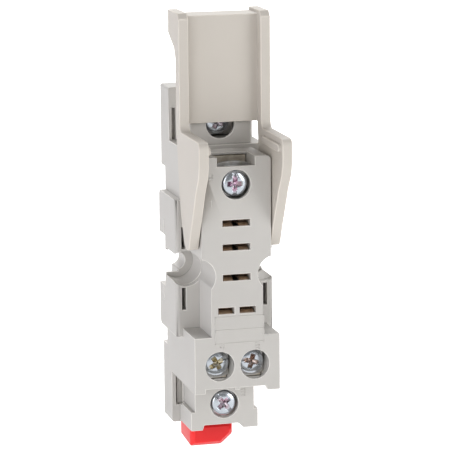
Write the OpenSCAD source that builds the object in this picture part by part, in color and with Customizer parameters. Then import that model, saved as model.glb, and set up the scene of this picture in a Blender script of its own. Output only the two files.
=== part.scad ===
// Relay socket for a slim five-blade relay, clipped to a 35 mm DIN rail.
// Origin: middle of the rail on the plane where the rail's front touches the socket.
// X runs across the socket, Y into the panel behind it and Z up.

/* [Rail] */
// Height of the rail pocket, the rail itself being 35 mm
rail_h = 35.6; // [35.2:0.1:36]
// How far the hooks reach behind the rail's front
hook_d = 3.2; // [2.8:0.1:4]
// Thickness of the rail lip that the catches hold
lip_gap = 1.3; // [1.1:0.1:1.6]
// How far the fixed catch reaches over the lip
catch_h = 1.6; // [1:0.1:2]

/* [Body] */
// Width of the body and of the coil block
body_w = 16.8; // [16:0.2:18]
// Depth from the relay face to the rail
face_d = 22.6; // [21:0.2:25]
// Height of the body's top above the rail's middle
top_z = 33.8; // [33:0.2:38]
// Depth of the body's underside below the rail's middle
bottom_z = 33; // [32.6:0.2:38]
// Depth of the back slab in front of the rail
slab_d = 3.5; // [3:0.1:4.5]
// Depth of the middle body in front of the rail
mid_d = 12; // [11:0.1:13]
// Width across the side flanges
flange_w = 19.4; // [18.6:0.2:21]
// Depth of the side flanges in front of the rail
flange_d = 13.4; // [12.6:0.1:14.2]
// Height of each flange, above or below the panel screws
flange_h = 11.2; // [10:0.1:12.5]
// Radius on the flanges' front edges
flange_r = 0.8; // [0.3:0.1:1.2]

/* [Relay face] */
// Width of the column that carries the relay
column_w = 13.6; // [13:0.1:14.4]
// Height of the ledge on top of the column
ledge_z = 22.8; // [22:0.1:24]
// Width of the neck between the two panel screws
neck_w = 10.1; // [9.4:0.1:11]
// Height of the coil block's upper edge, below the rail's middle
block_top = 11.8; // [10.5:0.1:12.4]
// Height of the coil block's lower edge, below the rail's middle
block_bottom = 22.8; // [22.4:0.1:23.6]
// How far the coil block's feet stand below its underside
foot_h = 0.9; // [0.4:0.1:1.2]

/* [Blade slots] */
// Width of a contact blade's slot
slot_w = 5.45; // [5:0.05:6]
// Height of a blade's slot
slot_h = 1.25; // [0.9:0.05:1.4]
// Width of a coil blade's slot
coil_slot_w = 3.2; // [2.6:0.05:3.4]
// Distance between the middles of the two coil slots
coil_pitch = 4.2; // [3.9:0.02:4.6]
// Heights of the three contact slots and of the coil slots
slot_z = [10.13, 5.48, -0.37, -6.77];

/* [Terminals] */
// Radius of the screw wells
well_r = 2.85; // [2.6:0.05:3]
// Radius of a screw's head
head_r = 2.45; // [2.2:0.05:2.5]
// Height of a screw's head
head_h = 1.9; // [1.6:0.1:2.2]
// Radius of the screw's shank
shank_r = 1.45; // [1.2:0.05:1.5]
// Length of the screw's shank
shank_l = 6.2; // [5.6:0.1:6.6]
// Running clearance of the shank in its tapped plate
shank_fit = 0.05; // [0.02:0.01:0.1]
// Depth of each tapped plate behind its front face
plate_d = 6.2; // [5.9:0.1:6.6]
// Thickness of the tapped plates
plate_t = 1.2; // [0.8:0.1:1.4]
// Thickness of the pressure plates under the screw heads
washer_t = 1; // [0.8:0.1:1.2]
// Width of the tapped plates and pressure plates on the three tiers
plate_w = 7; // [6:0.1:7.2]
// Width of the tapped plates and pressure plates of the coil terminals
coil_plate_w = 5.5; // [5:0.1:5.6]
// How far the three tiers' tapped plates and the coil's reach from the screws towards the wires
plate_reach = [5.6, 4.6, 3.6, 3.7];
// How far the pressure plates reach from the screws towards the wires
washer_reach = [4.7, 4.1, 3.1, 3.2];
// Turn of the top, middle, bottom and two coil screws' slots, in degrees
slot_turn = [25, 92, 48, 150, 15];
// Distance between the two coil screws
coil_screw_pitch = 6.9; // [6.8:0.1:7.4]
// Height of the three tiers' screws and of the coil screws
screw_z = [27.4, 17.5, -27.7, -17.55];
// How deep each of those screws' heads lies in its well
head_sink = [2.5, 0.7, 0.4, 2.5];

/* [Tiers] */
// Width of the top tier
top_w = 12.1; // [11.4:0.1:12.6]
// Depth of the top tier's face in front of the rail
top_d = 11.1; // [10.8:0.1:11.2]
// Width of the bottom tier
low_w = 11.9; // [11.4:0.1:12.6]
// Width of the bottom tier's foot
low_foot_w = 13.5; // [13:0.1:14.4]
// Depth of the bottom tier's face in front of the rail
low_d = 12.4; // [11.8:0.1:13]

/* [Panel screws] */
// Radius of the pockets for the panel screws' heads
pocket_r = 3.35; // [3:0.05:3.6]
// Distance of the pockets' middles from the socket's middle
pocket_x = 7.65; // [7.4:0.05:8]
// Radius of the panel screws' holes, which are open to the side
hole_r = 1.75; // [1.5:0.05:1.9]
// Depth of the steps that open the sides beside the panel screws
step_d = 4.7; // [4.4:0.1:5.2]
// Half the height of these steps
step_z = 5; // [4.5:0.1:5.5]
// Half the gap between the flanges beside the panel screws
flange_gap = 2.2; // [2:0.05:2.4]
// Depth of the pockets' floors, in front of the rail
pocket_floor = 5.3; // [4:0.1:7]

/* [Retaining clip] */
// Width over the clip's cheeks
clip_w = 18; // [17.8:0.1:19]
// Thickness of the cheeks
cheek_t = 1.95; // [1.6:0.05:2]
// Height of the clip's top
clip_top = 49.3; // [47:0.1:52]
// Lower edge of the clip's plate
clip_plate_z = 27.95; // [27.4:0.05:30]
// Depth of the plate's front, in front of the rail
clip_plate_d = 12.7; // [12.6:0.05:12.9]
// Thickness of the clip's plate
clip_plate_t = 1.4; // [1:0.05:1.4]
// Depth of the cheeks' front edges, in front of the rail
cheek_d = 14.9; // [14.5:0.1:15.4]
// Depth from the rail to the wings' front edges
wing_d = 29.8; // [27:0.2:32]
// Place of the pivot: distance in front of the rail, and height
pivot = [19.2, 9.5];
// Radius of the pivot stubs
pivot_r = 1.2; // [0.9:0.05:1.4]
// Running clearance of the stubs in their holes
pivot_fit = 0.06; // [0.03:0.01:0.1]

/* [Rail clip] */
// Width of the rail clip
foot_clip_w = 8.6; // [7.6:0.1:9]
// How far the rail clip's tab stands below the body
tab_h = 4.9; // [4:0.1:7]
// How far the rail clip slides down to let go of the rail
foot_travel = 3; // [2:0.1:3.4]
// Running clearance of the rail clip in its channel
foot_fit = 0.15; // [0.1:0.01:0.25]

/* [Hidden] */
$fn = 48;
eps = 0.01;
cut = 1; // how far a cutter runs past the face that it opens

shell_grey = [0.79, 0.78, 0.75];
clip_grey = [0.83, 0.80, 0.76];
clip_red = [0.87, 0.17, 0.18];
steel = [0.80, 0.81, 0.83];
brass = [0.80, 0.66, 0.38];

TOP = 0;
MIDDLE = 1;
BOTTOM = 2;
COIL = 3;

// Front faces that the terminals are sunk into, and the side that their wires come in from
tier_face = [-top_d, -face_d, -low_d, -face_d];
wire_side = [1, 1, -1, -1];
toe_h = 1; // height of the toes beside the rail clip
underside = -bottom_z + 0.25 + toe_h; // underside of the bottom tier
wire_end = [top_z, ledge_z, underside, -block_bottom + foot_h];

rail_top = rail_h / 2;
half_body = body_w / 2;
half_column = column_w / 2;
half_flange = flange_w / 2;
edge_r = 0.5; // small moulded radius

// Chambers behind the screw wells
plate_gap = 0.2; // clearance round the plates
chamber_in = 3; // from the screw to the chamber's inner wall
travel = 2; // what a screw moves from open to tight
wall_front = 0.9; // wall between a tier's face and its chamber
lip_h = 1.8; // how far the wires' mouths are open in the faces of the two upper tiers

strap_w = 2; // width of the straps that run to the contacts
strap_x = 1.4; // middle of the lane of each strap
strap_t = 0.8;
strap_gap = 0.15; // clearance round the straps and contacts
blade_in = face_d - 0.5; // depth, from the rail, where the contact chambers begin
fork_back = 12; // depth, from the rail, of the contacts' webs
coil_fork_back = face_d - plate_d - plate_t; // depth of the coil contacts' webs
leaf_t = 0.4;
lane_top_y = -top_d + plate_d; // front of the strap that runs down from the top plate
lane_middle_y = -9;
lane_bottom_y = -low_d + plate_d;

// Profile drawn in the side view, as [y, z], and extruded across X from x0 to x1
module across(x0, x1) {
    translate([x0, 0, 0])
        rotate([90, 0, 90])
            linear_extrude(x1 - x0)
                children();
}

// Profile drawn in the front view, as [x, z], and extruded along Y from y0 to y1
module along(y0, y1) {
    translate([0, y1, 0])
        rotate([90, 0, 0])
            linear_extrude(y1 - y0)
                children();
}

module box(x, y, z) {
    translate([x[0], y[0], z[0]])
        cube([x[1] - x[0], y[1] - y[0], z[1] - z[0]]);
}

module mirrored() {
    children();
    mirror([1, 0, 0])
        children();
}

// Rectangle from z0 to z1, centred on X, with its corners rounded by r
module plate_outline(w, z0, z1, r) {
    translate([-w / 2 + r, z0 + r])
        square([w - 2 * r, z1 - z0 - 2 * r]);
    for (x = [-w / 2 + r, w / 2 - r], z = [z0 + r, z1 - r])
        translate([x, z])
            circle(r);
    translate([-w / 2, z0 + r])
        square([w, z1 - z0 - 2 * r]);
    translate([-w / 2 + r, z0])
        square([w - 2 * r, z1 - z0]);
}

// A side flange seen from the side, with the step behind it next to the panel screw
module flange_profile() {
    high = flange_gap + flange_h;
    lead = 0.7;
    polygon([
        [-flange_d, flange_gap], [-step_d, flange_gap], [-step_d, step_z], [0, step_z],
        [0, high - lead], [-lead, high], [-flange_d, high]
    ]);
}

module flanges() {
    for (side = [0, 1])
        mirror([0, 0, side])
            intersection() {
                across(-half_flange, half_flange)
                    flange_profile();
                // rounds the flanges' front edges
                translate([0, 0, -top_z])
                    linear_extrude(2 * top_z)
                        union() {
                            translate([-half_flange, -flange_d + flange_r])
                                square([flange_w, flange_d + cut]);
                            translate([-half_flange + flange_r, -flange_d])
                                square([flange_w - 2 * flange_r, flange_d]);
                            for (x = [-1, 1])
                                translate([x * (half_flange - flange_r), -flange_d + flange_r])
                                    circle(flange_r);
                        }
            }
}

// Column under the relay, with rounded upper corners
module column() {
    r = 1;
    along(-face_d, -mid_d)
        union() {
            translate([-half_column, 0])
                square([column_w, ledge_z - r]);
            translate([-half_column + r, 0])
                square([column_w - 2 * r, ledge_z]);
            for (x = [-1, 1])
                translate([x * (half_column - r), ledge_z - r])
                    circle(r);
        }
}

// Everything that the moulded body fills, before its holes
module body_mass() {
    // back slab
    along(-slab_d, hook_d)
        plate_outline(body_w, -bottom_z, top_z, edge_r);
    // middle body
    box([-half_body, half_body], [-mid_d, 0], [-block_bottom, ledge_z + 0.7]);
    flanges();
    column();
    // neck
    box([-neck_w / 2, neck_w / 2], [-face_d, -mid_d], [-block_top - eps, pocket_r]);
    // coil block
    box([-half_body, half_body], [-face_d, -mid_d], [-block_bottom + foot_h, -block_top]);
    coil_block_feet();
    // top tier
    along(-top_d, -slab_d)
        plate_outline(top_w, ledge_z, top_z, edge_r);
    bottom_tier();
}

// Walls beside and between the coil terminals' wire entries
module coil_block_feet() {
    rib_w = 1;
    side_w = 2.1;
    lower = -block_bottom + foot_h;
    box([-half_body, -half_body + side_w], [-face_d, -mid_d], [-block_bottom, lower + eps]);
    box([-rib_w / 2, rib_w / 2], [-face_d, -mid_d], [lower - foot_h / 2, lower + eps]);
    along(-face_d, -mid_d)
        polygon([
            [half_body, lower + eps], [half_body, -block_bottom],
            [half_body - side_w - 0.3, -block_bottom], [half_body - side_w - 0.8, lower + eps]
        ]);
}

// Bottom tier, with the wider foot that guards the rail clip
module bottom_tier() {
    foot_top = -bottom_z + 4;
    box([-low_w / 2, low_w / 2], [-low_d, -slab_d], [foot_top - eps, -block_bottom + eps]);
    box([-low_foot_w / 2, low_foot_w / 2], [-low_d, -slab_d], [underside, foot_top]);
    along(-low_d, -slab_d)
        polygon([
            [-low_foot_w / 2, underside + eps], [-low_foot_w / 2, underside - toe_h],
            [-4.4, underside - toe_h], [-4.1, underside + eps]
        ]);
    along(-low_d, -slab_d)
        polygon([
            [low_foot_w / 2, underside + eps], [low_foot_w / 2, underside - toe_h],
            [3.8, underside - toe_h], [2.8, underside + eps]
        ]);
}

// Pocket between the hooks, and the catch over the rail's upper lip
module rail_pocket() {
    difference() {
        box([-half_body - cut, half_body + cut], [0, hook_d + cut], [-rail_top, rail_top]);
        across(-5, 5)
            polygon([
                [lip_gap, rail_top + eps], [lip_gap, rail_top - catch_h],
                [lip_gap + 0.5, rail_top - catch_h], [hook_d, rail_top - 0.4], [hook_d, rail_top + eps]
            ]);
    }
}

// Round pocket for a panel screw's head, the hole behind it and the gap that opens both to the side
module panel_screw_cut() {
    open_x = pocket_x - 0.35;
    neck_gap = 0.15; // the neck stands this far back from the pocket's edge
    for (step = [[-face_d - cut, -mid_d, pocket_r + neck_gap], [-mid_d - cut, -pocket_floor, pocket_r]])
        along(step[0], step[1])
            translate([pocket_x, 0])
                circle(step[2]);
    along(-pocket_floor - cut, cut)
        translate([pocket_x, 0])
            circle(hole_r);
    box([open_x, half_flange + cut], [-face_d - cut, cut], [-flange_gap, flange_gap]);
    box([open_x, half_flange + cut], [-step_d, cut], [-step_z, step_z]);
}

// Holes for the blades, with the chambers of the contacts behind them
module blade_cuts() {
    for (i = [TOP, MIDDLE, BOTTOM])
        blade_slot(0, slot_z[i], slot_w);
    for (side = [-1, 1])
        blade_slot(side * coil_pitch / 2, slot_z[COIL], coil_slot_w);
}

module blade_slot(x, z, w) {
    box([x - w / 2, x + w / 2], [-face_d - cut, -blade_in + cut], [z - slot_h / 2, z + slot_h / 2]);
}

function terminal_w(kind) = kind == COIL ? coil_plate_w : plate_w;

// Outline of a piece in a terminal, from its inner end to its end on the wire's side
function span(side, inner, outer) = side > 0 ? [-inner, outer] : [-outer, inner];

// Round well, chamber of the plates and mouth for the wire of one terminal
module terminal_cut(x, kind) {
    z = screw_z[kind];
    side = wire_side[kind];
    face = tier_face[kind];
    inner = face + wall_front;
    plate_front = face + plate_d;
    half = terminal_w(kind) / 2 + plate_gap;
    mouth = (wire_end[kind] - z) * side + cut;
    // the screw's well, and the room for its point
    along(face - cut, plate_front)
        translate([x, z])
            circle(well_r);
    along(face, face + head_sink[kind] + head_h + shank_l + travel + 0.3)
        translate([x, z])
            circle(shank_r + 0.3);
    translate([x, 0, z]) {
        // chamber that the wire is pushed into
        box([-half, half], [inner, plate_front], span(side, chamber_in, mouth));
        // recess of the tapped plate
        box([-half, half], [plate_front - eps, plate_front + plate_t + plate_gap],
            span(side, chamber_in, plate_reach[kind] + plate_gap));
    }
    // the two upper mouths are open in front as well
    if (side > 0)
        box([x - half, x + half], [face - cut, inner + cut], [wire_end[kind] - lip_h, wire_end[kind] + cut]);
}

// Upright slots that the mould's cores leave in the flanges and beside the tiers
module core_slots() {
    slot_depth = 5;
    slot_in = half_body - 0.7;
    flange_slot_h = 4.35;
    slab_slot_w = 0.8;
    top_slot = [ledge_z + 0.7, ledge_z + 7];
    low_slot = [-block_bottom - 6.7, -block_bottom];
    beside_top = half_body - 1.45;
    beside_low = half_body - 2.15;
    mirrored() {
        for (side = [0, 1])
            mirror([0, 0, side])
                box([slot_in, slot_in + slab_slot_w], [-flange_d - cut, -flange_d + slot_depth],
                    [pocket_r + 0.45, pocket_r + 0.45 + flange_slot_h]);
        box([beside_top, beside_top + slab_slot_w], [-slab_d - cut, -slab_d + slot_depth], top_slot);
        box([beside_low, beside_low + 1.3], [-slab_d - cut, -slab_d + slot_depth], low_slot);
        // slits that set the flanges' rear corners off
        for (z = [[step_z - cut, step_z + 3], [-step_z - 3, -step_z + cut]])
            box([half_body, half_flange + cut], [-3.7, -3.3], z);
    }
}

// Channel of the rail clip, open behind and below
module rail_clip_channel() {
    w = foot_clip_w / 2 + foot_fit;
    box([-w, w], [0, hook_d + cut], [-bottom_z - cut, -rail_top + cut]);
    box([-w - 1.2, w + 1.2], [0.4, 1.8], [-bottom_z - cut, -rail_top + cut]);
    box([-w, w], [-slab_d + 0.01, eps], [-bottom_z - cut, -bottom_z + 1.1]);
}

module housing() {
    color(shell_grey)
        difference() {
            body_mass();
            rail_pocket();
            mirrored()
                panel_screw_cut();
            blade_cuts();
            terminal_cut(0, TOP);
            terminal_cut(0, MIDDLE);
            terminal_cut(0, BOTTOM);
            terminal_cut(-coil_screw_pitch / 2, COIL);
            terminal_cut(coil_screw_pitch / 2, COIL);
            core_slots();
            rail_clip_channel();
            // pivot holes of the retaining clip
            translate([0, -pivot[0], pivot[1]])
                mirrored()
                    rotate([0, 90, 0])
                        translate([0, 0, half_column - stub_l - 0.2])
                            cylinder(r = pivot_r + pivot_fit, h = stub_l + cut);
            // room for the metal
            contact_room();
            cover_room();
        }
}

stub_l = 1.2;

// Straps and contacts, grown by their clearance and open towards the rear cover
module contact_room() {
    // contact chambers
    for (i = [TOP, MIDDLE, BOTTOM])
        chamber(0, slot_z[i], slot_w, fork_back);
    for (side = [-1, 1])
        chamber(side * coil_pitch / 2, slot_z[COIL], coil_slot_w, coil_fork_back);
    // strap of the top terminal, and its contact's tail
    lane(-strap_x, [lane_top_y, -cover_t], [slot_z[TOP] - 0.85, rail_top - 1.65]);
    lane(-strap_x, [lane_top_y, lane_top_y + strap_t], [rail_top - 2, screw_z[TOP]]);
    tail_room(-strap_x, lane_top_y, slot_z[TOP], 1);
    // strap of the middle terminal, and its contact's tail
    lane(strap_x, [lane_middle_y, -cover_t], [slot_z[MIDDLE] - 0.85, middle_leg_z + strap_t]);
    lane(strap_x, [-face_d + plate_d + strap_gap, lane_middle_y], [middle_leg_z, middle_leg_z + strap_t]);
    tail_room(strap_x, lane_middle_y, slot_z[MIDDLE], 1);
    // strap of the bottom terminal, and its contact's tail
    lane(0, [lane_bottom_y, -cover_t], [-rail_top + 1.65, slot_z[BOTTOM] + 0.85]);
    lane(0, [lane_bottom_y, lane_bottom_y + strap_t], [screw_z[BOTTOM], -rail_top + 2]);
    tail_room(0, lane_bottom_y, slot_z[BOTTOM], -1);
    // straps of the coil terminals, and their contacts' tails
    for (side = [-1, 1])
        lane(side * coil_pitch / 2, [-face_d + plate_d, -coil_fork_back + leaf_t], [screw_z[COIL], slot_z[COIL] - 1]);
}

// Room behind a blade slot in which the contact's leaves spring
module chamber(x, z, w, back) {
    half = fork_h / 2 + strap_gap;
    box([x - w / 2, x + w / 2], [-blade_in, -back + leaf_t + strap_gap], [z - half, z + half]);
}

// Channel of one strap, its clearance added all round
module lane(x, y, z) {
    half = strap_w / 2 + strap_gap;
    box([x - half, x + half], [y[0] - strap_gap, y[1] + strap_gap], [z[0] - strap_gap, z[1] + strap_gap]);
}

// Channel of a contact's tail, and of its foot on the strap; up is 1 or -1
module tail_room(x, lane_y, z, up) {
    lane(x, [-fork_back, lane_y], [z - leaf_t / 2, z + leaf_t / 2]);
    lane(x, [lane_y - leaf_t, lane_y], up > 0 ? [z - leaf_t / 2, z + tail_foot] : [z - tail_foot, z + leaf_t / 2]);
}

fork_h = 2.6; // height of a contact's chamber in which its leaves spring
tail_foot = 2; // length of the foot that joins a contact to its strap
middle_leg_z = screw_z[MIDDLE] - 2.8;
cover_t = 1.6;
cover_w = 13.2;
cover_h = rail_h - 2;
cover_gap = 3.2; // radius cleared round the panel screws

module cover_room() {
    difference() {
        along(-cover_t, hook_d)
            plate_outline(cover_w + 0.2, -cover_h / 2 - 0.1, cover_h / 2 + 0.1, 1.1);
        mirrored()
            along(-cover_t - cut, hook_d + cut)
                translate([pocket_x, 0])
                    circle(cover_gap - 0.1);
    }
}

module rear_cover() {
    color(shell_grey)
        difference() {
            along(-cover_t, 0)
                plate_outline(cover_w, -cover_h / 2, cover_h / 2, 1);
            // clears the panel screws
            mirrored()
                along(-cover_t - cut, cut)
                    translate([pocket_x, 0])
                        circle(cover_gap);
        }
}

// Outline of a cheek of the retaining clip in the side view, as [y, z]
module cheek_profile() {
    wing_top = clip_plate_z - 1.05;
    tip = pivot[1] - 4.6;
    f = (clip_top - wing_top) / 22.4; // grid of the upright part's outline
    g = (wing_top - tip) / 22; // grid of the wing's outline
    rear = -mid_d - 0.7 * g; // rear edge beside the middle body
    back = -cheek_d + 2.7 * f; // rear edge of the upright part
    fin = -6.3 * f;
    front = -wing_d;
    axle = -pivot[0];
    r = 1.3 * g;
    inside_r = 1.5 * g;
    difference() {
        union() {
            // upright part with the finger fin at its top
            polygon([
                [-cheek_d, wing_top - 4 * g], [-cheek_d, clip_top - 1.1 * f], [-cheek_d + 1.1 * f, clip_top],
                [fin, clip_top], [fin, clip_top - 4.4 * f], [fin - 2.3 * f, clip_top - 5.7 * f],
                [fin - 4.6 * f, clip_top - 6.8 * f], [back, clip_top - 9 * f], [back, wing_top],
                [rear, wing_top - 2.9 * g], [rear, wing_top - 4 * g]
            ]);
            // wing, from its top down to the tip
            polygon([
                [rear, wing_top], [front + r, wing_top], [front, wing_top - r],
                [front, wing_top - 4.7 * g], [front + 0.7 * g, wing_top - 6.9 * g],
                [front + 2.9 * g, wing_top - 10.1 * g], [front + 5 * g, wing_top - 14.2 * g],
                [front + 6.8 * g, tip + 4.5 * g], [axle - 2.4 * g, tip + 1.5 * g],
                [axle - 1.7 * g, tip + 0.3 * g], [axle - 0.6 * g, tip], [axle + 0.5 * g, tip + 0.05 * g],
                [axle + 1.5 * g, tip + 0.7 * g], [axle + 2.8 * g, tip + 3.3 * g], [axle + 3.9 * g, tip + 6 * g],
                [rear - 1.3 * g, wing_top - 11.4 * g], [rear, wing_top - 2.9 * g]
            ]);
            translate([front + r, wing_top - r])
                circle(r);
            // web in the corner between the upright part and the wing
            translate([-cheek_d - inside_r, wing_top - 1])
                square([inside_r + eps, inside_r + 1]);
        }
        translate([-cheek_d - inside_r, wing_top + inside_r])
            circle(inside_r);
    }
}

module retaining_clip() {
    half = clip_w / 2;
    top_wall = clip_top - 0.7;
    rib_h = 0.6;
    rib_r = 0.7;
    rib_in = 1.5; // middle of the rib's round end, behind the wing's front edge
    rib_l = wing_d - rib_in - cheek_d - 2.4;
    color(clip_grey) {
        mirrored()
            union() {
                across(half - cheek_t, half)
                    cheek_profile();
                // rib inside the wing
                across(half - cheek_t - rib_h, half - cheek_t + eps)
                    translate([-wing_d + rib_in, clip_plate_z - 2.95]) {
                        translate([0, -rib_r])
                            square([rib_l, 2 * rib_r]);
                        circle(rib_r);
                    }
                // pivot stub
                translate([half_column - stub_l, -pivot[0], pivot[1]])
                    rotate([0, 90, 0])
                        cylinder(r = pivot_r, h = half - cheek_t - half_column + stub_l + eps);
            }
        box([-half + cheek_t - eps, half - cheek_t + eps], [-clip_plate_d, -clip_plate_d + clip_plate_t],
            [clip_plate_z, top_wall]);
        box([-half + cheek_t - eps, half - cheek_t + eps], [-clip_plate_d, -6.3], [top_wall - 1.4, top_wall]);
    }
}

// Red clip that slides down to free the rail's lower lip
module rail_clip() {
    half = foot_clip_w / 2;
    jaw_h = 1.4;
    slide_top = -rail_top + 0;
    foot = -bottom_z - tab_h;
    chamfer = 2.3;
    color(clip_red)
        difference() {
            union() {
                // slide behind the body, with its two guide edges
                box([-half, half], [foot_fit, hook_d - 0.2], [-bottom_z - 0.6, slide_top - 0.3]);
                box([-half - 1, half + 1], [0.55, 1.65], [-bottom_z + 1, slide_top - 0.3]);
                // jaw over the rail's lower lip
                across(-half + 0.6, half - 0.6)
                    polygon([
                        [lip_gap, slide_top - 0.3 - eps], [lip_gap, slide_top + jaw_h],
                        [lip_gap + 0.5, slide_top + jaw_h], [hook_d - 0.2, slide_top + 0.2],
                        [hook_d - 0.2, slide_top - 0.3 - eps]
                    ]);
                // tab below the body
                along(-slab_d + 0.1, hook_d - 0.2)
                    polygon([
                        [-half, -bottom_z - 0.3], [-half, foot], [half - chamfer, foot],
                        [half, foot + chamfer * 0.9], [half, -bottom_z - 0.3]
                    ]);
            }
        }
}

// Terminal screw with a cross recess and a slot, its shank pointing along +Y
module terminal_screw(x, kind, turned) {
    wing_w = 0.95;
    wing_l = 1.5;
    recess_d = 1.1;
    slot_w = 0.75;
    slot_d = 0.55;
    crown = 0.3; // how far the head's middle stands out over its rim
    color(steel)
        translate([x, tier_face[kind] + head_sink[kind], screw_z[kind]])
            rotate([-90, turned, 0])
                difference() {
                    rotate_extrude()
                        polygon([
                            [0, 0], [head_r * 0.55, crown * 0.2], [head_r * 0.8, crown * 0.6], [head_r * 0.93, crown],
                            [head_r, crown + 0.3], [head_r, head_h],
                            [shank_r, head_h], [shank_r, head_h + shank_l - 0.5],
                            [shank_r - 0.5, head_h + shank_l], [0, head_h + shank_l]
                        ]);
                    // tapered cross
                    for (quarter = [0, 90])
                        rotate([90, 0, quarter])
                            translate([0, 0, -wing_w / 2])
                                linear_extrude(wing_w)
                                    polygon([
                                        [-wing_l, -cut], [wing_l, -cut], [wing_l, 0.1],
                                        [0.45, recess_d], [-0.45, recess_d], [-wing_l, 0.1]
                                    ]);
                    translate([-head_r - cut, -slot_w / 2, -cut])
                        cube([2 * head_r + 2 * cut, slot_w, slot_d + cut]);
                }
}

// Outline of a terminal's plate in the front view, round the screw
module plate_shape(kind, inner, outer, bow) {
    half = terminal_w(kind) / 2;
    side = wire_side[kind];
    r = (half * half + bow * bow) / (2 * bow);
    difference() {
        intersection() {
            translate([-half, side > 0 ? -inner : -outer])
                square([2 * half, inner + outer]);
            translate([0, side * (outer - r)])
                circle(r, $fn = 160);
        }
        circle(shank_r + shank_fit);
    }
}

// Captive plate that presses the wire down
module pressure_plate(x, kind) {
    y = tier_face[kind] + head_sink[kind] + head_h;
    color(steel)
        along(y, y + washer_t)
            translate([x, screw_z[kind]])
                plate_shape(kind, chamber_in - 0.3, washer_reach[kind], 0.6);
}

// Tapped plate behind the wire
module tapped_plate(x, kind) {
    y = tier_face[kind] + plate_d;
    side = wire_side[kind];
    half = terminal_w(kind) / 2;
    difference() {
        translate([x, 0, screw_z[kind]])
            box([-half, half], [y, y + plate_t], span(side, chamber_in - 0.2, plate_reach[kind]));
        along(y - cut, y + plate_t + cut)
            translate([x, screw_z[kind]])
                circle(shank_r + shank_fit);
    }
}

module terminal_plate_top() {
    color(brass) {
        tapped_plate(0, TOP);
        box([-strap_x - strap_w / 2, -strap_x + strap_w / 2], [lane_top_y, lane_top_y + strap_t],
            [slot_z[TOP] - 0.8, screw_z[TOP] - 2.5]);
    }
}

module terminal_plate_middle() {
    color(brass) {
        tapped_plate(0, MIDDLE);
        box([strap_x - strap_w / 2, strap_x + strap_w / 2], [-face_d + plate_d + eps, lane_middle_y + strap_t],
            [middle_leg_z, middle_leg_z + strap_t]);
        box([strap_x - strap_w / 2, strap_x + strap_w / 2], [lane_middle_y, lane_middle_y + strap_t],
            [slot_z[MIDDLE] - 0.8, middle_leg_z + strap_t]);
    }
}

module terminal_plate_bottom() {
    color(brass) {
        tapped_plate(0, BOTTOM);
        box([-strap_w / 2, strap_w / 2], [lane_bottom_y, lane_bottom_y + strap_t],
            [screw_z[BOTTOM] + 2.5, slot_z[BOTTOM] + 0.8]);
    }
}

module terminal_plate_coil(side) {
    color(brass) {
        tapped_plate(side * coil_screw_pitch / 2, COIL);
        translate([side * coil_pitch / 2, 0, 0])
            box([-strap_w / 2, strap_w / 2], [-face_d + plate_d, -face_d + plate_d + plate_t],
                [screw_z[COIL] + 2.5, slot_z[COIL] - 2.4]);
    }
}

// Two sprung leaves in the side view, as [y, z], from the mouth back to the web
module fork_profile(back) {
    mouth = -blade_in + 0.1;
    lip = mouth + 0.8; // end of the flared lips
    pinch = mouth + 1.7;
    open = 0.62; // half gap at the mouth
    shut = 0.12; // half gap where the leaves grip
    heel = 0.75; // half gap in front of the web
    for (side = [0, 1])
        mirror([0, side])
            polygon([
                [mouth, open], [lip, shut + 0.05], [pinch, shut], [pinch + 1.2, shut + 0.1],
                [-back - 0.6, heel], [-back, heel], [-back, heel + leaf_t], [-back - 0.8, heel + leaf_t],
                [pinch + 1.2, shut + 0.1 + leaf_t], [pinch, shut + leaf_t], [lip, shut + 0.05 + leaf_t],
                [mouth, open + leaf_t]
            ]);
    translate([-back, -heel - leaf_t])
        square([leaf_t, 2 * (heel + leaf_t)]);
}

// Contact of one relay blade; foot is +1 where its foot turns up and -1 where it turns down
module contact(kind, x, lane_y, foot) {
    z = slot_z[kind];
    w = slot_w - 0.5;
    prong_gap = 1.1;
    prong_l = 5;
    color(brass) {
        translate([0, 0, z])
            difference() {
                across(-w / 2, w / 2)
                    fork_profile(fork_back);
                // parts each leaf into two prongs
                box([-prong_gap / 2, prong_gap / 2], [-blade_in, -blade_in + prong_l], [-fork_h / 2, fork_h / 2]);
            }
        translate([x, 0, z]) {
            box([-strap_w / 2, strap_w / 2], [-fork_back, lane_y], [-leaf_t / 2, leaf_t / 2]);
            box([-strap_w / 2, strap_w / 2], [lane_y - leaf_t, lane_y],
                foot > 0 ? [-leaf_t / 2, tail_foot] : [-tail_foot, leaf_t / 2]);
        }
    }
}

module contact_coil(side) {
    w = coil_slot_w - 0.4;
    color(brass)
        translate([side * coil_pitch / 2, 0, slot_z[COIL]]) {
            across(-w / 2, w / 2)
                fork_profile(coil_fork_back);
            box([-strap_w / 2, strap_w / 2], [-coil_fork_back, -coil_fork_back + leaf_t], [-5.5, 0]);
        }
}

housing();
rear_cover();
retaining_clip();
rail_clip();
terminal_screw(0, TOP, slot_turn[0]);  // screw_top
terminal_screw(0, MIDDLE, slot_turn[1]);  // screw_middle
terminal_screw(0, BOTTOM, slot_turn[2]);  // screw_bottom
terminal_screw(-coil_screw_pitch / 2, COIL, slot_turn[3]);  // screw_coil_left
terminal_screw(coil_screw_pitch / 2, COIL, slot_turn[4]);  // screw_coil_right
pressure_plate(0, TOP);  // pressure_plate_top
pressure_plate(0, MIDDLE);  // pressure_plate_middle
pressure_plate(0, BOTTOM);  // pressure_plate_bottom
pressure_plate(-coil_screw_pitch / 2, COIL);  // pressure_plate_coil_left
pressure_plate(coil_screw_pitch / 2, COIL);  // pressure_plate_coil_right
terminal_plate_top();
terminal_plate_middle();
terminal_plate_bottom();
terminal_plate_coil(-1);  // terminal_plate_coil_left
terminal_plate_coil(1);  // terminal_plate_coil_right
contact(TOP, -strap_x, lane_top_y, 1);  // contact_top
contact(MIDDLE, strap_x, lane_middle_y, 1);  // contact_middle
contact(BOTTOM, 0, lane_bottom_y, -1);  // contact_bottom
contact_coil(-1);  // contact_coil_left
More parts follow.
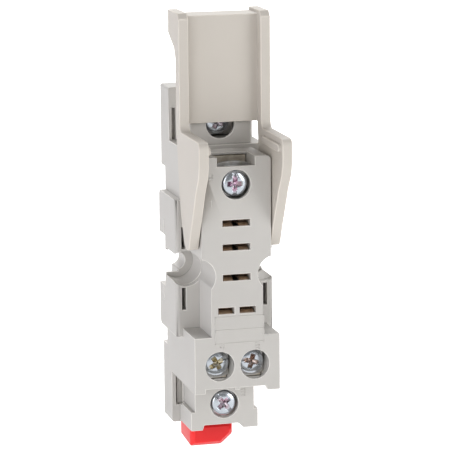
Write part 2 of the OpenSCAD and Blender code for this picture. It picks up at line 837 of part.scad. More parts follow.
contact_coil(1);  // contact_coil_right
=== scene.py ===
import math
import bpy
import bmesh
from mathutils import Matrix, Vector


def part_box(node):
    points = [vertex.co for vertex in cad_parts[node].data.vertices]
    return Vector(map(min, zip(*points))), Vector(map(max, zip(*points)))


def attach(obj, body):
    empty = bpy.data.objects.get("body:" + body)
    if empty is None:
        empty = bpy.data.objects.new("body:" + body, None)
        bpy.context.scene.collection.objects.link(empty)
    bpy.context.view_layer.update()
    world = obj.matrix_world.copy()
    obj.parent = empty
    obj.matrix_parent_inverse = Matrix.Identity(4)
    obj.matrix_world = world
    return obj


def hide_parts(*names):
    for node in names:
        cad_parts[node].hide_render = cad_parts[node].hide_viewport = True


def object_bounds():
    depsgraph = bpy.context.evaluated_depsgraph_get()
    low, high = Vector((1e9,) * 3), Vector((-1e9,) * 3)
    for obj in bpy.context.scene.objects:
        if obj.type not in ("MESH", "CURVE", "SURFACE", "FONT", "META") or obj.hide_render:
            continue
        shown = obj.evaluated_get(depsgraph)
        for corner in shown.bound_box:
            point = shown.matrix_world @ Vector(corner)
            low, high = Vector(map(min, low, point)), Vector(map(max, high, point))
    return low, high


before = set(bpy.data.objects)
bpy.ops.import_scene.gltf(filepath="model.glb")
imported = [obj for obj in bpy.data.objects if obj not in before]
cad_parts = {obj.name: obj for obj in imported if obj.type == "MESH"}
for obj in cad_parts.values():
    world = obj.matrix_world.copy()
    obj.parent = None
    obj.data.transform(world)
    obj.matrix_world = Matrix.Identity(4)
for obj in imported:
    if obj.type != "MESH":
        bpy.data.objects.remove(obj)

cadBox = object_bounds()
scene = bpy.context.scene
terminals = ["top", "middle", "bottom", "coil_left", "coil_right"]


def newTree(name, kind, inputs, outputs):
    # a node group with named inputs and their first values
    tree = bpy.data.node_groups.new(name, kind)
    for label, socket, value in inputs:
        item = tree.interface.new_socket(label, in_out="INPUT", socket_type="NodeSocket" + socket)
        if value is not None:
            item.default_value = value
    for label, socket in outputs:
        tree.interface.new_socket(label, in_out="OUTPUT", socket_type="NodeSocket" + socket)
    return tree, tree.nodes.new("NodeGroupInput"), tree.nodes.new("NodeGroupOutput")


def addNode(tree, kind, inputs=None, **settings):
    node = tree.nodes.new(kind)
    for key, value in settings.items():
        setattr(node, key, value)
    for socket, value in (inputs or {}).items():
        node.inputs[socket].default_value = value
    return node


surfaceSockets = [("Color", "Color"), ("Roughness", "Float"), ("Normal", "Vector")]


def addSurface(tree, pattern, dullness, strength, out, look):
    # one fine pattern varies the roughness and stands up as relief
    link = tree.links.new
    gloss = addNode(tree, "ShaderNodeMath", {1: look["dullSpread"]}, operation="MULTIPLY_ADD")
    link(pattern, gloss.inputs[0])
    link(dullness, gloss.inputs[2])
    link(gloss.outputs[0], out.inputs["Roughness"])
    relief = addNode(tree, "ShaderNodeBump", {"Distance": look["relief"]})
    link(strength, relief.inputs["Strength"])
    link(pattern, relief.inputs["Height"])
    link(relief.outputs["Normal"], out.inputs["Normal"])


plasticPattern = {
    "cloudScale": 90,
    "cloudRange": (0.3, 0.7),
    "grainScale": 5200,
    "speckScale": 160,
    "speckSize": (0.012, 0.03),
    "speckTone": 0.86,
    "dullSpread": 0.16,
    "relief": 0.00004,
}


def mouldedSkin(look):
    # moulded plastic: slow tone drift, a few tiny specks, a painted highlight on rounded outer edges with
    # painted shade in inner corners, and a fine grain
    tree, into, out = newTree("mouldedSkin", "ShaderNodeTree", [
        ("Tone", "Color", (0.6, 0.6, 0.57, 1)),
        ("Drift", "Float", 0.05),
        ("Painted Edge Light And Shade", "Float", 0.1),
        ("Grain", "Float", 0.1),
        ("Dullness", "Float", 0.45),
    ], surfaceSockets)
    link = tree.links.new
    place = addNode(tree, "ShaderNodeTexCoord")
    cloud = addNode(tree, "ShaderNodeTexNoise", {"Scale": look["cloudScale"], "Detail": 4})
    grain = addNode(tree, "ShaderNodeTexNoise", {"Scale": look["grainScale"], "Detail": 3})
    speck = addNode(tree, "ShaderNodeTexVoronoi", {"Scale": look["speckScale"]}, feature="F1")
    for pattern in (cloud, grain, speck):
        link(place.outputs["Object"], pattern.inputs["Vector"])

    # the cloud moves the tone from 1 - drift to 1 + drift
    low = addNode(tree, "ShaderNodeMath", {0: 1}, operation="SUBTRACT")
    high = addNode(tree, "ShaderNodeMath", {0: 1}, operation="ADD")
    drift = addNode(tree, "ShaderNodeMapRange",
                    {"From Min": look["cloudRange"][0], "From Max": look["cloudRange"][1]})
    link(into.outputs["Drift"], low.inputs[1])
    link(into.outputs["Drift"], high.inputs[1])
    link(cloud.outputs["Fac"], drift.inputs["Value"])
    link(low.outputs[0], drift.inputs["To Min"])
    link(high.outputs[0], drift.inputs["To Max"])

    dots = addNode(tree, "ShaderNodeMapRange", {
        "From Min": look["speckSize"][0], "From Max": look["speckSize"][1],
        "To Min": look["speckTone"], "To Max": 1})
    link(speck.outputs["Distance"], dots.inputs["Value"])

    rim = addNode(tree, "ShaderNodeAttribute", attribute_name="paintedEdgeLightAndShade")  # painted highlight on rounded outer edges, painted shade in inner corners
    edgeLightFactor = addNode(tree, "ShaderNodeMath", {2: 1}, operation="MULTIPLY_ADD")
    link(rim.outputs["Fac"], edgeLightFactor.inputs[0])
    link(into.outputs["Painted Edge Light And Shade"], edgeLightFactor.inputs[1])

    tone = into.outputs["Tone"]
    for factor in (drift.outputs["Result"], dots.outputs["Result"], edgeLightFactor.outputs[0]):
        scaled = addNode(tree, "ShaderNodeVectorMath", operation="SCALE")
        link(tone, scaled.inputs[0])
        link(factor, scaled.inputs["Scale"])
        tone = scaled.outputs[0]
    link(tone, out.inputs["Color"])
    addSurface(tree, grain.outputs["Fac"], into.outputs["Dullness"], into.outputs["Grain"], out, look)
    return tree


metalPattern = {
    "cloudScale": 900,
    "filmEnd": 0.6,
    "markScale": 4200,
    "markTwist": 1.2,
    "dullSpread": 0.14,
    "relief": 0.00003,
}


def platedMetal(look):
    # plated metal: a thin coloured film in patches, drawing marks and small dents
    tree, into, out = newTree("platedMetal", "ShaderNodeTree", [
        ("Vector", "Vector", None),
        ("Tone", "Color", (0.75, 0.76, 0.78, 1)),
        ("Film", "Color", (0.70, 0.56, 0.62, 1)),
        ("Film Amount", "Float", 0.4),
        ("Film Start", "Float", 0.42),
        ("Marks", "Float", 0.2),
        ("Dullness", "Float", 0.2),
    ], surfaceSockets)
    link = tree.links.new
    cloud = addNode(tree, "ShaderNodeTexNoise", {"Scale": look["cloudScale"], "Detail": 3})
    marks = addNode(tree, "ShaderNodeTexNoise",
                    {"Scale": look["markScale"], "Detail": 4, "Distortion": look["markTwist"]})
    for pattern in (cloud, marks):
        link(into.outputs["Vector"], pattern.inputs["Vector"])
    share = addNode(tree, "ShaderNodeMapRange", {"From Max": look["filmEnd"]})
    link(into.outputs["Film Start"], share.inputs["From Min"])
    link(into.outputs["Film Amount"], share.inputs["To Max"])
    link(cloud.outputs["Fac"], share.inputs["Value"])
    tint = addNode(tree, "ShaderNodeMix", data_type="RGBA")
    link(share.outputs["Result"], tint.inputs[0])
    link(into.outputs["Tone"], tint.inputs[6])  # 6 and 7 are the colour sockets A and B
    link(into.outputs["Film"], tint.inputs[7])
    link(tint.outputs[2], out.inputs["Color"])
    addSurface(tree, marks.outputs["Fac"], into.outputs["Dullness"], into.outputs["Marks"], out, look)
    return tree


skinGroup = mouldedSkin(plasticPattern)
metalGroup = platedMetal(metalPattern)


def newMaterial(name, group, values, shaderValues):
    # a material whose colour, roughness and normal come from one of the groups
    made = bpy.data.materials.new(name)
    made.use_nodes = True
    tree = made.node_tree
    shader = tree.nodes["Principled BSDF"]
    surface = addNode(tree, "ShaderNodeGroup", values, node_tree=group)
    for source, target in (("Color", "Base Color"), ("Roughness", "Roughness"), ("Normal", "Normal")):
        tree.links.new(surface.outputs[source], shader.inputs[target])
    for socket, value in shaderValues.items():
        shader.inputs[socket].default_value = value
    return made, tree, surface


# the edge value sets how strong the painted edge highlight and the painted inner-corner shade are
def plastic(name, tone, drift=0.02, paintedEdgeLight=0.15, grain=0.12, dullness=0.42, specular=0.45, coat=0.0):
    values = {"Tone": (*tone, 1), "Drift": drift, "Painted Edge Light And Shade": paintedEdgeLight, "Grain": grain, "Dullness": dullness}
    return newMaterial(name, skinGroup, values, {
        "Specular IOR Level": specular, "Coat Weight": coat, "Coat Roughness": 0.15})[0]


def metal(name, tone, film, filmAmount, dullness, metallic=1.0):
    values = {"Tone": (*tone, 1), "Film": (*film, 1), "Film Amount": filmAmount, "Dullness": dullness}
    made, tree, surface = newMaterial(name, metalGroup, values, {"Metallic": metallic})
    place = addNode(tree, "ShaderNodeTexCoord")
    tree.links.new(place.outputs["Object"], surface.inputs["Vector"])
    return made


def screwMetal(name, axis, look, film):
    # bluish zinc on the head, with a warm film down in the driver's recess
    values = {"Tone": (*look["tone"], 1), "Film": (*film, 1), "Film Start": look["filmStart"],
              "Marks": look["marks"], "Dullness": look["dullness"]}
    made, tree, surface = newMaterial(name, metalGroup, values, {"Metallic": 1})
    link = tree.links.new
    place = addNode(tree, "ShaderNodeTexCoord")
    centred = addNode(tree, "ShaderNodeMapping", {"Location": -axis}, vector_type="POINT")
    link(place.outputs["Object"], centred.inputs["Vector"])
    link(centred.outputs["Vector"], surface.inputs["Vector"])
    flat = addNode(tree, "ShaderNodeVectorMath", {1: (1, 0, 1)}, operation="MULTIPLY")
    link(centred.outputs["Vector"], flat.inputs[0])
    radius = addNode(tree, "ShaderNodeVectorMath", operation="LENGTH")
    link(flat.outputs[0], radius.inputs[0])
    inner = addNode(tree, "ShaderNodeMapRange", {
        "From Min": look["recess"] * look["recessFade"][0], "From Max": look["recess"] * look["recessFade"][1],
        "To Min": 1, "To Max": look["filmOutside"]})
    link(radius.outputs["Value"], inner.inputs["Value"])
    apart = addNode(tree, "ShaderNodeSeparateXYZ")
    link(centred.outputs["Vector"], apart.inputs[0])
    sunk = addNode(tree, "ShaderNodeMapRange",
                   {"From Min": look["crown"], "From Max": look["crown"] * look["crownFade"]})
    link(apart.outputs["Y"], sunk.inputs["Value"])
    amount = addNode(tree, "ShaderNodeMath", operation="MULTIPLY")
    link(inner.outputs["Result"], amount.inputs[0])
    link(sunk.outputs["Result"], amount.inputs[1])
    link(amount.outputs[0], surface.inputs["Film Amount"])
    return made


# the edge values give the painted highlight on outer edges and the painted shade in inner corners
shellPlastic = plastic("shellPlastic", (0.585, 0.566, 0.537), paintedEdgeLight=0.38)
clipPlastic = plastic("clipPlastic", (0.632, 0.588, 0.531), drift=0.015, paintedEdgeLight=0.22)
redPlastic = plastic("redPlastic", (0.86, 0.020, 0.022), drift=0.03, grain=0.06,
                     dullness=0.28, specular=0.35, coat=0.1)
zincSheet = metal("zincSheet", (0.66, 0.66, 0.66), (0.50, 0.48, 0.44), filmAmount=0.6, dullness=0.24)
tappedMetal = metal("tappedMetal", (0.72, 0.66, 0.56), (0.50, 0.44, 0.36), filmAmount=0.6,
                    dullness=0.42, metallic=0.45)
contactMetal = metal("contactMetal", (0.64, 0.53, 0.42), (0.45, 0.33, 0.24), filmAmount=0.7, dullness=0.42)
print("materials: plastics, zinc and brass")

copyLook = {
    "weld": 2e-6,
    "near": 1e-5,  # a point this close to a place counts as there
    "flat": math.radians(0.6),  # faces closer than this to one plane are joined
    "slack": 3e-7,  # area that a face may gain before it counts as crossed
    "rounds": 6,
    "paintedCreaseShade": -0.55,  # painted shade in inner corners, as a share of the painted edge highlight
    "smooth": math.radians(40),
    "weight": 80,
}


def linkNew(name, mesh):
    made = bpy.data.objects.new(name, mesh)
    scene.collection.objects.link(made)
    return made


def linkMesh(name, bm):
    mesh = bpy.data.meshes.new(name)
    bm.to_mesh(mesh)
    bm.free()
    return linkNew(name, mesh)


def editMesh(mesh):
    bm = bmesh.new()
    bm.from_mesh(mesh)
    return bm


def closeMesh(bm, mesh):
    bm.to_mesh(mesh)
    bm.free()


def bake(piece):
    # the modifiers' result as a plain mesh
    depsgraph = bpy.context.evaluated_depsgraph_get()
    done = bpy.data.meshes.new_from_object(piece.evaluated_get(depsgraph))
    piece.modifiers.clear()
    old = piece.data
    piece.data = done
    bpy.data.meshes.remove(old)
    return piece


def copyNode(node):
    # a merged copy of a CAD node, its flat faces joined up again
    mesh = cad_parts[node].data.copy()
    mesh.materials.clear()
    for slot in range(2):
        mesh.materials.append(None)  # the second one takes the faces that a bevel makes
    for face in mesh.polygons:
        face.material_index = 0
    bm = editMesh(mesh)
    bmesh.ops.remove_doubles(bm, verts=bm.verts, dist=copyLook["weld"])
    bmesh.ops.dissolve_limit(bm, angle_limit=copyLook["flat"], verts=bm.verts, edges=bm.edges,
                             use_dissolve_boundaries=False)
    closeMesh(bm, mesh)
    return linkNew(node + "_skin", mesh)


def crossedFaces(piece):
    # numbers of the faces that a bevel has pulled across themselves
    depsgraph = bpy.context.evaluated_depsgraph_get()
    mesh = bpy.data.meshes.new_from_object(piece.evaluated_get(depsgraph))
    mesh.calc_loop_triangles()
    drawn = [0.0] * len(mesh.polygons)
    for part in mesh.loop_triangles:
        drawn[part.polygon_index] += part.area
    number = mesh.attributes["number"].data
    crossed = {number[face.index].value for face in mesh.polygons
               if drawn[face.index] > face.area + copyLook["slack"]}
    bpy.data.meshes.remove(mesh)
    return crossed


def paintEdgeLightAndShade(piece):
    # an attribute for the plastics: 1 on rounded outer edges for a painted highlight, below 0 in inner corners
    # for painted shade
    bm = editMesh(piece.data)
    edgeLightLayer = bm.faces.layers.float.new("paintedEdgeLightAndShade")
    for face in bm.faces:
        if face.material_index == 1:
            turn = sum(edge.calc_face_angle_signed(0) * edge.calc_length()
                       for edge in face.edges if len(edge.link_faces) == 2)
            # outer edges get the painted highlight, inner corners the painted shade
            face[edgeLightLayer] = 1.0 if turn > 0 else copyLook["paintedCreaseShade"]
    closeMesh(bm, piece.data)


def settle(piece):
    # modifiers into the mesh, then shading that keeps flat faces flat
    bake(piece)
    paintEdgeLightAndShade(piece)
    for face in piece.data.polygons:
        face.use_smooth = True
    piece.data.set_sharp_from_angle(angle=copyLook["smooth"])
    even = piece.modifiers.new("even", "WEIGHTED_NORMAL")
    even.keep_sharp = True
    even.weight = copyLook["weight"]
    return bake(piece)


def bevelled(piece, width, segments=2, angle=32, shortest=0.0, narrowest=0.0, share=None):
    # rounds the edges that are long enough and whose faces have room for it
    # share gives an edge's part of the width
    mesh = piece.data
    bm = editMesh(mesh)
    weight = bm.edges.layers.float.new("bevel_weight_edge")
    number = bm.faces.layers.int.new("number")
    for face in bm.faces:
        face[number] = face.index
    for edge in bm.edges:
        if len(edge.link_faces) != 2 or edge.calc_face_angle(0) < math.radians(angle):
            continue
        long = edge.calc_length()
        roomy = all(face.calc_area() / long > narrowest for face in edge.link_faces)
        if long > shortest and roomy:
            edge[weight] = share(edge) if share else 1.0
    bm.to_mesh(mesh)
    bevel = piece.modifiers.new("edges", "BEVEL")
    bevel.width = width
    bevel.segments = segments
    bevel.limit_method = "WEIGHT"
    bevel.use_clamp_overlap = False
    bevel.miter_outer = "MITER_SHARP"
    bevel.material = 1
    for attempt in range(copyLook["rounds"]):
        crossed = crossedFaces(piece)
        if not crossed:
            break
        for face in bm.faces:
            if face[number] in crossed:  # such a face keeps its sharp edges
                for edge in face.edges:
                    edge[weight] = 0.0
        bm.to_mesh(mesh)
    bm.free()
    return settle(piece)


def dress(piece, material, body):
    piece.data.materials.clear()
    piece.data.materials.append(material)
    for face in piece.data.polygons:
        face.material_index = 0
    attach(piece, body)


shellLook = {
    "edge": 0.00012,
    "coverEdge": 0.00010,
    "shortest": 0.00025,
    "narrowest": 0.0003,
    "slotEnd": 0.0015,  # where the upright core slots end in the solid
    "upperSlot": {"floor": -0.0019, "above": 0.0230, "inner": 0.0060, "outer": 0.0080},
    "lowerStep": ((0.00615, 0.0071), (-0.0024, 0.0016), (-0.0296, -0.0227)),  # ranges in x, y and z
}


def closerWalls(piece):
    # raises the upper slots' floors and sets a step into each lower slot, beside its open gap
    upper = shellLook["upperSlot"]
    for vertex in piece.data.vertices:
        x, y, z = vertex.co
        inSlot = upper["inner"] < abs(x) < upper["outer"] and z > upper["above"]
        if inSlot and abs(y - shellLook["slotEnd"]) < copyLook["near"]:
            vertex.co.y = upper["floor"]
    for side in (-1, 1):
        bm = bmesh.new()
        bmesh.ops.create_cube(bm, size=1)
        for corner in bm.verts:
            for axis in range(3):
                corner.co[axis] = shellLook["lowerStep"][axis][corner.co[axis] > 0]
            corner.co.x *= side
        bmesh.ops.recalc_face_normals(bm, faces=bm.faces)
        step = linkMesh("slot_step", bm)
        joined = piece.modifiers.new("step", "BOOLEAN")
        joined.operation = "UNION"
        joined.solver = "EXACT"
        joined.object = step
        bake(piece)
        bpy.data.objects.remove(step)
    return piece


housing = bevelled(closerWalls(copyNode("housing")), shellLook["edge"],
                   shortest=shellLook["shortest"], narrowest=shellLook["narrowest"])
dress(housing, shellPlastic, "socket")
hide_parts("housing")
rearCover = bevelled(copyNode("rear_cover"), shellLook["coverEdge"])
dress(rearCover, shellPlastic, "socket")
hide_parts("rear_cover")
print("housing and rear cover:", len(housing.data.polygons) + len(rearCover.data.polygons), "faces")

# plain terminal numbers in strokes, a unit wide and two units high
digitStrokes = {
    "1": [((0.5, 0), (0.5, 2)), ((0.5, 2), (0.15, 1.6))],
    "2": [((0, 2), (1, 2)), ((1, 2), (1, 1)), ((1, 1), (0, 1)), ((0, 1), (0, 0)), ((0, 0), (1, 0))],
    "3": [((0, 2), (1, 2)), ((1, 2), (1, 0)), ((0, 1), (1, 1)), ((0, 0), (1, 0))],
    "4": [((0, 2), (0, 1)), ((0, 1), (1, 1)), ((1, 2), (1, 0))],
    "5": [((1, 2), (0, 2)), ((0, 2), (0, 1)), ((0, 1), (1, 1)), ((1, 1), (1, 0)), ((1, 0), (0, 0))],
}
markLook = {
    "stroke": 0.00028,
    "height": 0.00008,
    "sink": 0.00002,  # how far a mark's foot stands in its face
    "top": 0.4,  # the flat top's share of the stroke
    "unit": 0.00058,
    "frame": (-0.0043, 0.0052, -0.0131, -0.00796),  # left, right, lowest, highest
    "rule": -0.0105,
    "relayFace": -0.0226,
    "bottomFace": -0.0124,
}
numberPlaces = {
    "mark_coil": ("relayFace", [("4", -0.0033, -0.0144), ("5", 0.0037, -0.0144)]),
    "mark_middle": ("relayFace", [("2", -0.0052, 0.0184), ("1", -0.0052, 0.0136)]),
    "mark_bottom": ("bottomFace", [("3", 0.0035, -0.0262)]),
}


def raisedMark(name, strokes, face):
    # bars with sloping sides on a face that looks to the front, from pairs of points in x and z
    bm = bmesh.new()
    for first, last in strokes:
        start, end = Vector((first[0], 0, first[1])), Vector((last[0], 0, last[1]))
        along = (end - start).normalized() * markLook["stroke"] / 2
        across = Vector((-along.z, 0, along.x))
        rings = []
        levels = ((1, markLook[face] + markLook["sink"]),
                  (markLook["top"], markLook[face] - markLook["height"]))
        for share, y in levels:
            ahead, aside = (along + across) * share, (along - across) * share
            ring = [start - ahead, end + aside, end + ahead, start - aside]
            rings.append([bm.verts.new((p.x, y, p.z)) for p in ring])
        foot, top = rings
        bm.faces.new(top)
        bm.faces.new(foot[::-1])
        for i in range(4):
            j = (i + 1) % 4
            bm.faces.new((foot[i], foot[j], top[j], top[i]))
    bmesh.ops.recalc_face_normals(bm, faces=bm.faces)
    dress(linkMesh(name, bm), shellPlastic, "socket")


def numberStrokes(digit, x, z):
    unit = markLook["unit"]
    return [[(x + px * unit, z + pz * unit) for px, pz in stroke] for stroke in digitStrokes[digit]]


left, right, lowest, highest = markLook["frame"]
corners = [(left, lowest), (right, lowest), (right, highest), (left, highest)]
frameStrokes = [(corners[i], corners[(i + 1) % 4]) for i in range(4)]
frameStrokes.append(((left, markLook["rule"]), (right, markLook["rule"])))
raisedMark("mark_frame", frameStrokes, "relayFace")
for name, (face, digits) in numberPlaces.items():
    raisedMark(name, [stroke for digit in digits for stroke in numberStrokes(*digit)], face)
print("raised marks: a frame and", sum(len(digits) for face, digits in numberPlaces.values()), "numbers")

clipLook = {"edge": 0.00018, "segments": 3}
clip = bevelled(copyNode("retaining_clip"), clipLook["edge"], segments=clipLook["segments"])
dress(clip, clipPlastic, "clip")
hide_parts("retaining_clip")
print("retaining clip:", len(clip.data.polygons), "faces")

footLook = {
    "edge": 0.00022,
    "rim": 0.00085,
    "rimTop": -0.0321,
    "neck": -0.03305,  # between the neck and the top the foot steps over to its tab
    "top": -0.03329,
    "shift": -0.00085,
    "front": -0.0056,
    "rise": 0.0006,
}


def movedTab(piece):
    # the tab stands a little to one side and further forward, its underside rising behind
    bm = editMesh(piece.data)
    for height in (footLook["neck"], footLook["top"]):
        bmesh.ops.bisect_plane(bm, geom=bm.verts[:] + bm.edges[:] + bm.faces[:],
                               plane_co=(0, 0, height), plane_no=(0, 0, 1))
    lowest = min(vertex.co.z for vertex in bm.verts)
    front = min(vertex.co.y for vertex in bm.verts)
    for vertex in bm.verts:
        if vertex.co.z < footLook["top"] + copyLook["near"]:
            vertex.co.x += footLook["shift"]
            if vertex.co.y < front + copyLook["near"]:
                vertex.co.y = footLook["front"]
            elif vertex.co.z < lowest + copyLook["near"]:
                vertex.co.z += footLook["rise"]
    closeMesh(bm, piece.data)
    return piece


def footShare(edge):
    # the tab's front face has a broad slanted rim, the other edges a small one
    atFront = all(vertex.co.y < footLook["front"] + copyLook["near"] and vertex.co.z < footLook["rimTop"]
                  for vertex in edge.verts)
    return 1.0 if atFront else footLook["edge"] / footLook["rim"]


foot = bevelled(movedTab(copyNode("rail_clip")), footLook["rim"], segments=1, share=footShare)
dress(foot, redPlastic, "foot")
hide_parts("rail_clip")
print("rail clip:", len(foot.data.polygons), "faces")


def finishTree(tree, shape, into, out):
    # the end of a geometry tree: real faces with their material
    link = tree.links.new
    real = addNode(tree, "GeometryNodeRealizeInstances")
    link(shape, real.inputs["Geometry"])
    paint = addNode(tree, "GeometryNodeSetMaterial")
    link(real.outputs[0], paint.inputs["Geometry"])
    link(into.outputs["Finish"], paint.inputs["Material"])
    link(paint.outputs[0], out.inputs["Geometry"])
    return tree


def threadTree():
    # one helical ridge round a screw's core, its axis pointing to the rear
    tree, into, out = newTree("threadRidge", "GeometryNodeTree", [
        ("Geometry", "Geometry", None),
        ("Core", "Float", 0.0012),
        ("Ridge", "Float", 0.0002),
        ("Pitch", "Float", 0.0005),
        ("Turns", "Float", 9.0),
        ("Start", "Vector", (0, 0, 0)),
        ("Finish", "Material", None),
    ], [("Geometry", "Geometry")])
    link = tree.links.new
    rise = addNode(tree, "ShaderNodeMath", operation="MULTIPLY")
    link(into.outputs["Pitch"], rise.inputs[0])
    link(into.outputs["Turns"], rise.inputs[1])
    coil = addNode(tree, "GeometryNodeCurveSpiral", {"Resolution": 28})
    link(into.outputs["Turns"], coil.inputs["Rotations"])
    link(into.outputs["Core"], coil.inputs["Start Radius"])
    link(into.outputs["Core"], coil.inputs["End Radius"])
    link(rise.outputs[0], coil.inputs["Height"])
    upright = addNode(tree, "GeometryNodeSetCurveNormal", mode="Z_UP")
    link(coil.outputs[0], upright.inputs["Curve"])
    tooth = addNode(tree, "GeometryNodeCurvePrimitiveCircle", {"Resolution": 3}, mode="RADIUS")
    link(into.outputs["Ridge"], tooth.inputs["Radius"])
    outwards = addNode(tree, "GeometryNodeTransform", {"Scale": (-1, 1, 1)})
    link(tooth.outputs[0], outwards.inputs["Geometry"])
    ridge = addNode(tree, "GeometryNodeCurveToMesh", {"Fill Caps": True})
    link(upright.outputs[0], ridge.inputs["Curve"])
    link(outwards.outputs[0], ridge.inputs["Profile Curve"])
    turned = addNode(tree, "GeometryNodeFlipFaces")
    link(ridge.outputs[0], turned.inputs["Mesh"])
    placed = addNode(tree, "GeometryNodeTransform", {"Rotation": (math.radians(-90), 0, 0)})
    link(turned.outputs[0], placed.inputs["Geometry"])
    link(into.outputs["Start"], placed.inputs["Translation"])
    return finishTree(tree, placed.outputs[0], into, out)


def ribTree():
    # a row of fine straight ribs that grip the wire
    tree, into, out = newTree("gripRibs", "GeometryNodeTree", [
        ("Geometry", "Geometry", None),
        ("Count", "Int", 4),
        ("Step", "Vector", (0, 0, 0.0006)),
        ("Start", "Vector", (0, 0, 0)),
        ("Size", "Vector", (0.005, 0.0001, 0.0002)),
        ("Finish", "Material", None),
    ], [("Geometry", "Geometry")])
    link = tree.links.new
    row = addNode(tree, "GeometryNodeMeshLine", mode="OFFSET")
    link(into.outputs["Count"], row.inputs["Count"])
    link(into.outputs["Start"], row.inputs["Start Location"])
    link(into.outputs["Step"], row.inputs["Offset"])
    bar = addNode(tree, "GeometryNodeMeshCube")
    link(into.outputs["Size"], bar.inputs["Size"])
    bars = addNode(tree, "GeometryNodeInstanceOnPoints")
    link(row.outputs[0], bars.inputs["Points"])
    link(bar.outputs[0], bars.inputs["Instance"])
    return finishTree(tree, bars.outputs[0], into, out)


def grown(name, tree, **values):
    # runs a node tree and keeps its result as a plain mesh
    piece = linkNew(name, bpy.data.meshes.new(name))
    grow = piece.modifiers.new("grow", "NODES")
    grow.node_group = tree
    for item in tree.interface.items_tree:
        if item.in_out == "INPUT" and item.name in values:
            grow[item.identifier] = values[item.name]
    return bake(piece)


screwLook = {
    "head": 0.0023,  # from the crown to the shank
    "core": 0.00122,
    "runout": 0.0001,  # full width that stays under the head
    "ridge": 0.00022,
    "ridgeSink": 0.00002,
    "pitch": 0.0005,
    "threadMargin": 0.0003,  # bare length at each end of the thread
    "edge": 0.00005,
    "angle": 35,
    "shortest": 0.0002,
    "narrowest": 0.00014,
    "tone": (0.68, 0.73, 0.79),
    "recess": 0.0017,
    "recessFade": (0.75, 1.05),  # shares of the recess's radius between which its film fades
    "crown": 0.0002,
    "crownFade": 1.6,
    "filmStart": 0.1,
    "filmOutside": 0.12,
    "marks": 0.12,
    "dullness": 0.15,
}
screwFilm = {
    "top": (0.42, 0.34, 0.40),
    "middle": (0.50, 0.31, 0.41),
    "bottom": (0.50, 0.37, 0.42),
    "coil_left": (0.50, 0.42, 0.24),
    "coil_right": (0.48, 0.33, 0.26),
}
plateLook = {
    "edge": 0.00008,
    "ribs": 3,
    "ribStep": 0.00055,
    "ribHeight": 0.00012,
    "ribWidth": 0.00018,
    "ribStart": 0.0019,  # from the screw's axis to the first rib
    "ribMargin": 0.0008,  # from a rib's end to the plate's edge
}
brassLook = {"tappedEdge": 0.00006, "contactEdge": 0.00004}
threads = threadTree()
ribs = ribTree()


def makeScrew(kind):
    low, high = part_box("screw_" + kind)
    axis = Vector(((low[0] + high[0]) / 2, low[1], (low[2] + high[2]) / 2))
    neck = low[1] + screwLook["head"]
    screw = copyNode("screw_" + kind)
    for vertex in screw.data.vertices:  # the shank goes down to the thread's core
        away = Vector((vertex.co.x - axis.x, 0, vertex.co.z - axis.z))
        if vertex.co.y > neck + screwLook["runout"] and away.length > screwLook["core"]:
            away.length = screwLook["core"]
            vertex.co = Vector((axis.x, vertex.co.y, axis.z)) + away
    bevelled(screw, screwLook["edge"], angle=screwLook["angle"],
             shortest=screwLook["shortest"], narrowest=screwLook["narrowest"])
    finish = screwMetal("screwZinc_" + kind, axis, screwLook, screwFilm[kind])
    dress(screw, finish, "bolt_" + kind)
    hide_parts("screw_" + kind)
    margin = screwLook["threadMargin"]
    thread = grown("thread_" + kind, threads, Core=screwLook["core"] - screwLook["ridgeSink"],
                   Ridge=screwLook["ridge"], Pitch=screwLook["pitch"],
                   Turns=(high[1] - neck - 2 * margin) / screwLook["pitch"],
                   Start=(axis.x, neck + margin, axis.z), Finish=finish)
    dress(thread, finish, "bolt_" + kind)
    return axis


def makePlate(kind, axis):
    plate = bevelled(copyNode("pressure_plate_" + kind), plateLook["edge"])
    dress(plate, zincSheet, "plate_" + kind)
    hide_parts("pressure_plate_" + kind)
    low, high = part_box("pressure_plate_" + kind)
    wireSide = 1 if kind in ("top", "middle") else -1
    grip = grown("grip_" + kind, ribs, Count=plateLook["ribs"], Step=(0, 0, wireSide * plateLook["ribStep"]),
                 Start=(axis.x, high[1], axis.z + wireSide * plateLook["ribStart"]),
                 Size=(high[0] - low[0] - 2 * plateLook["ribMargin"], 2 * plateLook["ribHeight"],
                       plateLook["ribWidth"]),
                 Finish=zincSheet)
    dress(grip, zincSheet, "plate_" + kind)


for kind in terminals:
    axis = makeScrew(kind)
    makePlate(kind, axis)
    tapped = bevelled(copyNode("terminal_plate_" + kind), brassLook["tappedEdge"])
    dress(tapped, tappedMetal, "socket")
    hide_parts("terminal_plate_" + kind)
    leaves = bevelled(copyNode("contact_" + kind), brassLook["contactEdge"])
    dress(leaves, contactMetal, "socket")
    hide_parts("contact_" + kind)
print("terminals:", len(terminals), "screws with threads, ribbed plates, tapped plates and contacts")

cameraSettings = {
    "place": (-0.123626, -0.488691, 0.102610),
    "forward": (0.24747447, 0.95027203, -0.18904883),
    "right": (0.96726043, -0.25363563, -0.00873101),
    "up": (0.05624635, 0.18069875, 0.98192887),
    "lens": 208.005,
    "sensor": 36,  # mm, as the lens
    "near": 0.01,
    "far": 20,
}


def makeCamera(settings):
    data = bpy.data.cameras.new("camera")
    data.lens = settings["lens"]
    data.sensor_width = settings["sensor"]
    data.clip_start = settings["near"]
    data.clip_end = settings["far"]
    camera = linkNew("camera", data)
    right, up, forward = (Vector(settings[k]) for k in ("right", "up", "forward"))
    turn = Matrix((right, up, -forward)).transposed().to_4x4()
    camera.matrix_world = Matrix.Translation(settings["place"]) @ turn
    scene.camera = camera


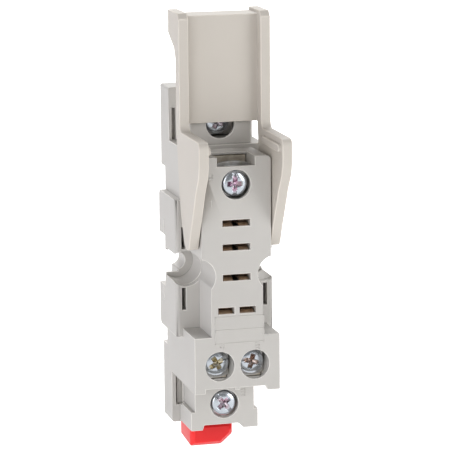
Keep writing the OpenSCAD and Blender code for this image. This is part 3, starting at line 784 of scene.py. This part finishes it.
stageSettings = {
    "size": 4.0,
    "drop": 0.05,
    "tone": (0.94, 0.94, 0.94, 1),
    "dullness": 0.9,
    "world": 0.2,
    "backdrop": 0.9,
    "glow": 0.5,
}
lampAim = (0, 0, 0.005)  # for lamps without an aim of their own
lampSettings = {
    "key": {"place": (-0.7, -0.85, 0.22), "power": 3.5, "size": 0.7},
    "fill": {"place": (0.9, -0.9, 0.35), "power": 7.2, "size": 0.8},
    "left": {"place": (-1.1, -0.1, 0.05), "power": 3.9, "size": 0.6, "tint": (0.99, 0.99, 1.08)},
    "floorLight": {"place": (0.2, 1.6, 1.5), "aim": (0.2, 1.3, 0), "power": 55, "size": 1.6},
}


def makeFloor(settings):
    z = cadBox[0][2] - settings["drop"]
    s = settings["size"]
    mesh = bpy.data.meshes.new("floor")
    mesh.from_pydata([(-s, -s, z), (s, -s, z), (s, s, z), (-s, s, z)], [], [(0, 1, 2, 3)])
    floor = linkNew("floor", mesh)
    paint = bpy.data.materials.new("floorPaint")
    paint.use_nodes = True
    tree = paint.node_tree
    shader = tree.nodes["Principled BSDF"]
    shader.inputs["Base Color"].default_value = settings["tone"]
    shader.inputs["Roughness"].default_value = settings["dullness"]
    shader.inputs["Emission Color"].default_value = (1, 1, 1, 1)
    seen = addNode(tree, "ShaderNodeLightPath")  # the floor stays pale from every side
    glow = addNode(tree, "ShaderNodeMath", {1: settings["glow"]}, operation="MULTIPLY")
    tree.links.new(seen.outputs["Is Camera Ray"], glow.inputs[0])
    tree.links.new(glow.outputs[0], shader.inputs["Emission Strength"])
    mesh.materials.append(paint)


def makeWorld(settings):
    world = bpy.data.worlds.new("studio")
    scene.world = world
    world.use_nodes = True
    tree = world.node_tree
    sky = tree.nodes["Background"]
    sky.inputs["Color"].default_value = (1, 1, 1, 1)
    seen = addNode(tree, "ShaderNodeLightPath")  # pale behind the object, dimmer as a light
    strength = addNode(tree, "ShaderNodeMapRange",
                       {"To Min": settings["world"], "To Max": settings["backdrop"]})
    tree.links.new(seen.outputs["Is Camera Ray"], strength.inputs["Value"])
    tree.links.new(strength.outputs["Result"], sky.inputs["Strength"])


def makeLamps(lamps):
    for name, lamp in lamps.items():
        data = bpy.data.lights.new(name, "AREA")
        data.energy = lamp["power"]
        data.size = lamp["size"]
        data.color = lamp.get("tint", (1, 1, 1))
        made = linkNew(name, data)
        made.location = lamp["place"]
        aim = Vector(lamp.get("aim", lampAim)) - Vector(lamp["place"])
        made.rotation_euler = aim.to_track_quat("-Z", "Y").to_euler()


scene.view_settings.view_transform = "Standard"  # plain studio rendering of the colours
makeCamera(cameraSettings)
makeFloor(stageSettings)
makeWorld(stageSettings)
makeLamps(lampSettings)
print("stage: camera, floor and lights")
